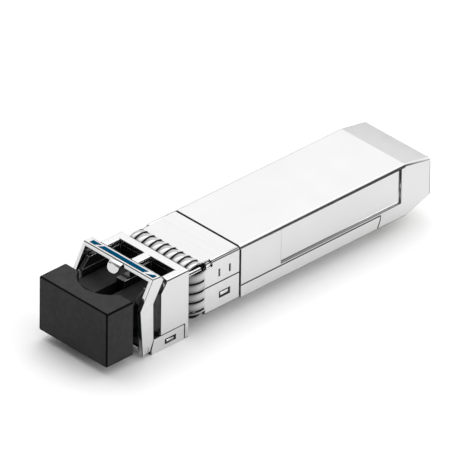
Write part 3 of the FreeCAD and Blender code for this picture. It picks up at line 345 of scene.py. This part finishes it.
NODE_FINISH = {
    "base_housing": casting, "top_cover": casting, "emi_collar_upper": shaded_finger_metal,
    "emi_collar_lower": shaded_finger_metal, "latch_bracket": sheet_metal, "latch_rocker": sheet_metal,
    "latch_spring": sheet_metal, "osa_clamp": sheet_metal, "bail_frame": sheet_metal,
    "port_liner": liner_plastic, "dust_plug": rubber, "bail_inlay": enamel, "bail_shaft": steel,
    "rocker_pin": steel, "cover_screws": steel, "tx_receptacle_barrel": steel,
    "rx_receptacle_barrel": steel, "clock_crystal": steel, "tx_split_sleeve": zirconia,
    "rx_split_sleeve": zirconia, "tx_fibre_stub": zirconia, "rx_fibre_stub": zirconia,
    "laser_can": gold, "detector_can": gold, "edge_contacts": gold, "tx_flex_circuit": film,
    "rx_flex_circuit": film, "main_board": mask, "laser_driver_chip": epoxy,
    "receiver_chip": epoxy, "controller_chip": epoxy, "memory_chip": epoxy, "resistors": epoxy,
    "capacitors": ceramic, "power_inductors": ferrite, "driver_thermal_pad": gap_filler,
    "absorber_sheet": absorber,
}
for name, finish in NODE_FINISH.items():
    for slot in NODES[name].material_slots:
        slot.material = finish


# ---- pieces ----------------------------------------------------------------------------------

RECORD = frame["record"]
BODY_OF = {member: body for body, members in RECORD["behaviour"]["bodies"].items()
           for member in members}


def new_piece(name, mesh, body):
    """Put a mesh in the scene as a piece of the object."""
    piece = bpy.data.objects.new(name, mesh)
    bpy.context.scene.collection.objects.link(piece)
    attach(piece, body)
    return piece


def finished(name, width, finish=None, choose=None, crease=None, plain=None, trim=None):
    """The piece as designed, with its sharp edges rolled over as tooling leaves them.

    width is that of the rolled edges, in millimetres, and finish their material, which paints
    shade or glints on them. choose picks the material of a face, plain or painted shade, crease
    the shallow edges that stay crisp, and plain the edges that aren't rolled. trim changes the
    shape first.
    """
    mesh = NODES[name].data.copy()
    mesh.name = name + "_finished"
    if finish:
        mesh.materials.append(finish)
    shape = bmesh.new()
    shape.from_mesh(mesh)
    bmesh.ops.remove_doubles(shape, verts=shape.verts, dist=TOUCH)
    if trim:
        trim(shape)
    weight = shape.edges.layers.float.new("bevel_weight_edge")
    for edge in shape.edges:
        turn = edge.calc_face_angle(0)
        long_enough = edge.calc_length() > 3 * width * MM
        rolled = turn > SHARP and long_enough and not (plain and plain(edge))
        edge[weight] = 1.0 if rolled else 0.0
        if turn > SHARP and not rolled or turn > CREASE and crease and crease(edge):
            edge.smooth = False
    for face in shape.faces:
        face.smooth = True
        if choose:
            face.material_index = choose(module_place(face.calc_center_median()), face.normal)
    shape.to_mesh(mesh)
    shape.free()
    piece = new_piece(name + "_finished", mesh, BODY_OF[name])
    bevel = piece.modifiers.new("rolled_edges", "BEVEL")
    bevel.width = width * MM
    bevel.segments = BEVEL_SEGMENTS
    bevel.limit_method = "WEIGHT"
    bevel.use_clamp_overlap = False
    # the rolled edges take the painted shade or glints of finish
    if finish:
        bevel.material = EDGE
    flat = piece.modifiers.new("flat_faces", "WEIGHTED_NORMAL")
    flat.keep_sharp = True
    flat.weight = FACE_WEIGHT
    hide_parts(name)


def module_place(point):
    """A point in millimetres from the stop shoulder and the shell's underside."""
    return Vector((point.x / MM, point.y / MM - STOP, point.z / MM - DROP))


def scene_place(x, along, up):
    """The other way: from the module's own millimetres to the scene."""
    return Vector((x, along + STOP, up + DROP)) * MM


def shell_face(spot, normal):
    """Casting, with painted shade on the lower half of its long rounded corners."""
    if spot.z > ROOF_BEND and abs(normal.x) > 0.6 and 0.15 < normal.z < 0.8:
        return EDGE
    return PLAIN


def collar_face(spot, normal):
    """Sheet, with painted shade on the tight corner bends, but for a middle strip of each."""
    bend = abs(normal.x) > 0.3 and abs(normal.z) > 0.3 and spot.y > COLLAR_BEND_START
    return EDGE if bend and not 0.6 < abs(normal.z) < 0.8 else PLAIN


def tail_crease(edge):
    """True where the cover's roof turns down into its rear slope."""
    return all(abs(module_place(vert.co).y - TAIL_START) < NEAR for vert in edge.verts)


def shaft_eye(edge):
    """True for the rims of the bail's two holes."""
    spot = module_place((edge.verts[0].co + edge.verts[1].co) / 2)
    return math.dist((spot.y, spot.z), SHAFT) < EYE_RADIUS


def without_tab(shape):
    """Take the finger tab off the bail and close the place where it stood."""
    tab = [face for face in shape.faces
           if all(abs(vert.co.x) < TAB_SPACE * MM and vert.co.y < (STOP + TAB_FRONT) * MM
                  for vert in face.verts)]
    bmesh.ops.delete(shape, geom=tab, context="FACES")
    rim = [edge for edge in shape.edges if edge.is_boundary]
    bmesh.ops.holes_fill(shape, edges=rim, sides=0)
    bmesh.ops.delete(shape, geom=[v for v in shape.verts if not v.link_edges], context="VERTS")


def finger_tab():
    """The bail's tab: spring sheet rolled forward and down, with a rounded end."""
    shape = bmesh.new()
    start = scene_place(0, *TAB_ROOT)
    left = shape.verts.new(start + Vector((-TAB_HALF * MM, 0, 0)))
    right = shape.verts.new(start + Vector((TAB_HALF * MM, 0, 0)))
    edge = shape.edges.new((left, right))
    rolled = bmesh.ops.spin(shape, geom=[edge], cent=start - Vector((0, 0, TAB_ROLL * MM)),
                            axis=(1, 0, 0), angle=TAB_TURN, steps=10)
    tip = [item for item in rolled["geom_last"] if isinstance(item, bmesh.types.BMEdge)]
    drawn = bmesh.ops.extrude_edge_only(shape, edges=tip)["geom"]
    ends = [item for item in drawn if isinstance(item, bmesh.types.BMVert)]
    down = Vector((0, -math.cos(TAB_TURN), -math.sin(TAB_TURN))) * TAB_DROP * MM
    bmesh.ops.translate(shape, verts=ends, vec=down)
    bmesh.ops.bevel(shape, geom=ends, offset=TAB_CORNER * MM, offset_type="OFFSET",
                    affect="VERTICES", segments=6, profile=0.5, material=-1)
    bmesh.ops.recalc_face_normals(shape, faces=shape.faces)
    for face in shape.faces:
        face.smooth = True
    mesh = bpy.data.meshes.new("finger_tab")
    shape.to_mesh(mesh)
    shape.free()
    mesh.materials.append(sheet_metal)
    mesh.materials.append(edge_shade)
    piece = new_piece("finger_tab", mesh, "bail")
    wall = piece.modifiers.new("sheet", "SOLIDIFY")
    wall.thickness = TAB_SHEET * MM
    wall.offset = 0
    # the sheet's cut rim takes painted shade
    wall.material_offset_rim = EDGE
    bevel = piece.modifiers.new("rolled_edges", "BEVEL")
    bevel.width = 0.05 * MM
    bevel.segments = BEVEL_SEGMENTS
    bevel.limit_method = "ANGLE"
    bevel.angle_limit = SHARP
    piece.modifiers.new("flat_faces", "WEIGHTED_NORMAL")


finished("base_housing", 0.1, edge_shade, shell_face)
finished("top_cover", 0.1, edge_shade, shell_face, tail_crease)
for name in ("emi_collar_upper", "emi_collar_lower"):
    finished(name, 0.06, edge_shade, collar_face)
finished("latch_bracket", 0.1, edge_shade)
finished("latch_rocker", 0.05)
finished("port_liner", 0.07, glint_edge)
finished("bail_frame", 0.1, edge_shade, plain=shaft_eye, trim=without_tab)
finished("dust_plug", 0.22, plug_edge_shade)
finger_tab()


# ---- stage -----------------------------------------------------------------------------------

FLOOR_HALF = 4.0                    # metres
FLOOR_GAP = 0.02                    # millimetres below the module
VIEW_ANGLES = (45.977, 32.096, 0.752)
VIEW_DISTANCE = 2.0
VIEW_WIDTH = 0.06641                # width of the view at the module
VIEW_TARGET = (0, 0.00213, 0.00593)
VIEW_SHIFT = (-0.001746, 0.000038)  # from the target, to the right and up
DOME_STOPS = ((0.0, 0.02), (0.17, 0.04), (0.275, 0.9), (0.5, 1.0))
DOME_FRONT = (-0.7, 0.18)           # direction along the module, and the dome's strength there
DOME_REAR = (0.1, 1.35)


def floor():
    """A pale floor just under the module."""
    mesh = bpy.data.meshes.new("studio_floor")
    shape = bmesh.new()
    bmesh.ops.create_grid(shape, x_segments=1, y_segments=1, size=FLOOR_HALF)
    shape.to_mesh(mesh)
    shape.free()
    ground = bpy.data.objects.new("studio_floor", mesh)
    ground.location.z = cad_box[0][2] - FLOOR_GAP * MM
    bpy.context.scene.collection.objects.link(ground)
    mesh.materials.append(new_material("pale_floor", (0.92, 0.92, 0.92), 0.0, 0.7)[0])


def lamp(name, spot, target, size, power):
    """A soft rectangular lamp; places and sizes in metres, power in watts."""
    data = bpy.data.lights.new(name, "AREA")
    data.shape = "RECTANGLE"
    data.size, data.size_y = size
    data.energy = power
    item = bpy.data.objects.new(name, data)
    item.location = spot
    item.rotation_euler = (Vector(target) - Vector(spot)).to_track_quat("-Z", "Y").to_euler()
    bpy.context.scene.collection.objects.link(item)


def camera():
    """A long lens at the viewing angle: azimuth, elevation and roll in degrees."""
    azimuth, elevation, roll = (math.radians(a) for a in VIEW_ANGLES)
    level = math.cos(elevation)
    back = Vector((math.sin(azimuth) * level, -math.cos(azimuth) * level, math.sin(elevation)))
    right = Vector((math.cos(azimuth), math.sin(azimuth), 0))
    up = back.cross(right)
    right, up = (math.cos(roll) * right + math.sin(roll) * up,
                 -math.sin(roll) * right + math.cos(roll) * up)
    target = Vector(VIEW_TARGET) + right * VIEW_SHIFT[0] + up * VIEW_SHIFT[1]
    data = bpy.data.cameras.new("camera")
    data.lens = VIEW_DISTANCE * data.sensor_width / VIEW_WIDTH
    data.clip_end = 10 * VIEW_DISTANCE
    view = bpy.data.objects.new("camera", data)
    view.matrix_world = Matrix.Translation(target + back * VIEW_DISTANCE) @ Matrix(
        (right, up, back)).transposed().to_4x4()
    bpy.context.scene.collection.objects.link(view)
    bpy.context.scene.camera = view


def studio():
    """A white dome that darkens towards the horizon, as black flags round a light tent do."""
    world = bpy.data.worlds.new("studio")
    world.use_nodes = True
    tree = world.node_tree
    coords = tree.nodes.new("ShaderNodeTexCoord")
    parts = tree.nodes.new("ShaderNodeSeparateXYZ")
    tree.links.new(coords.outputs["Generated"], parts.inputs["Vector"])
    ramp = tree.nodes.new("ShaderNodeValToRGB")
    ramp.color_ramp.interpolation = "EASE"
    while len(ramp.color_ramp.elements) < len(DOME_STOPS):
        ramp.color_ramp.elements.new(0.5)
    for element, (place, level) in zip(ramp.color_ramp.elements, DOME_STOPS):
        element.position = place
        element.color = (level, level, level, 1.0)
    tree.links.new(parts.outputs["Z"], ramp.inputs["Fac"])
    front = tree.nodes.new("ShaderNodeMapRange")
    front.interpolation_type = "SMOOTHSTEP"
    front.inputs["From Min"].default_value, front.inputs["To Min"].default_value = DOME_FRONT
    front.inputs["From Max"].default_value, front.inputs["To Max"].default_value = DOME_REAR
    tree.links.new(parts.outputs["Y"], front.inputs["Value"])
    tree.links.new(ramp.outputs["Color"], tree.nodes["Background"].inputs["Color"])
    tree.links.new(front.outputs["Result"], tree.nodes["Background"].inputs["Strength"])
    bpy.context.scene.world = world


floor()
lamp("top_panel", (-0.2, 0.1, 0.56), (0, 0, 0), (0.5, 0.5), 1.3)
lamp("right_panel", (0.5, 0.15, 0.12), (0, 0, 0.005), (0.3, 0.15), 0.85)
lamp("front_card", (-0.366, -0.456, 0.132), (0, -0.03, 0.008), (0.26, 0.26), 0.22)
studio()
bpy.context.scene.view_settings.view_transform = "Standard"
camera()
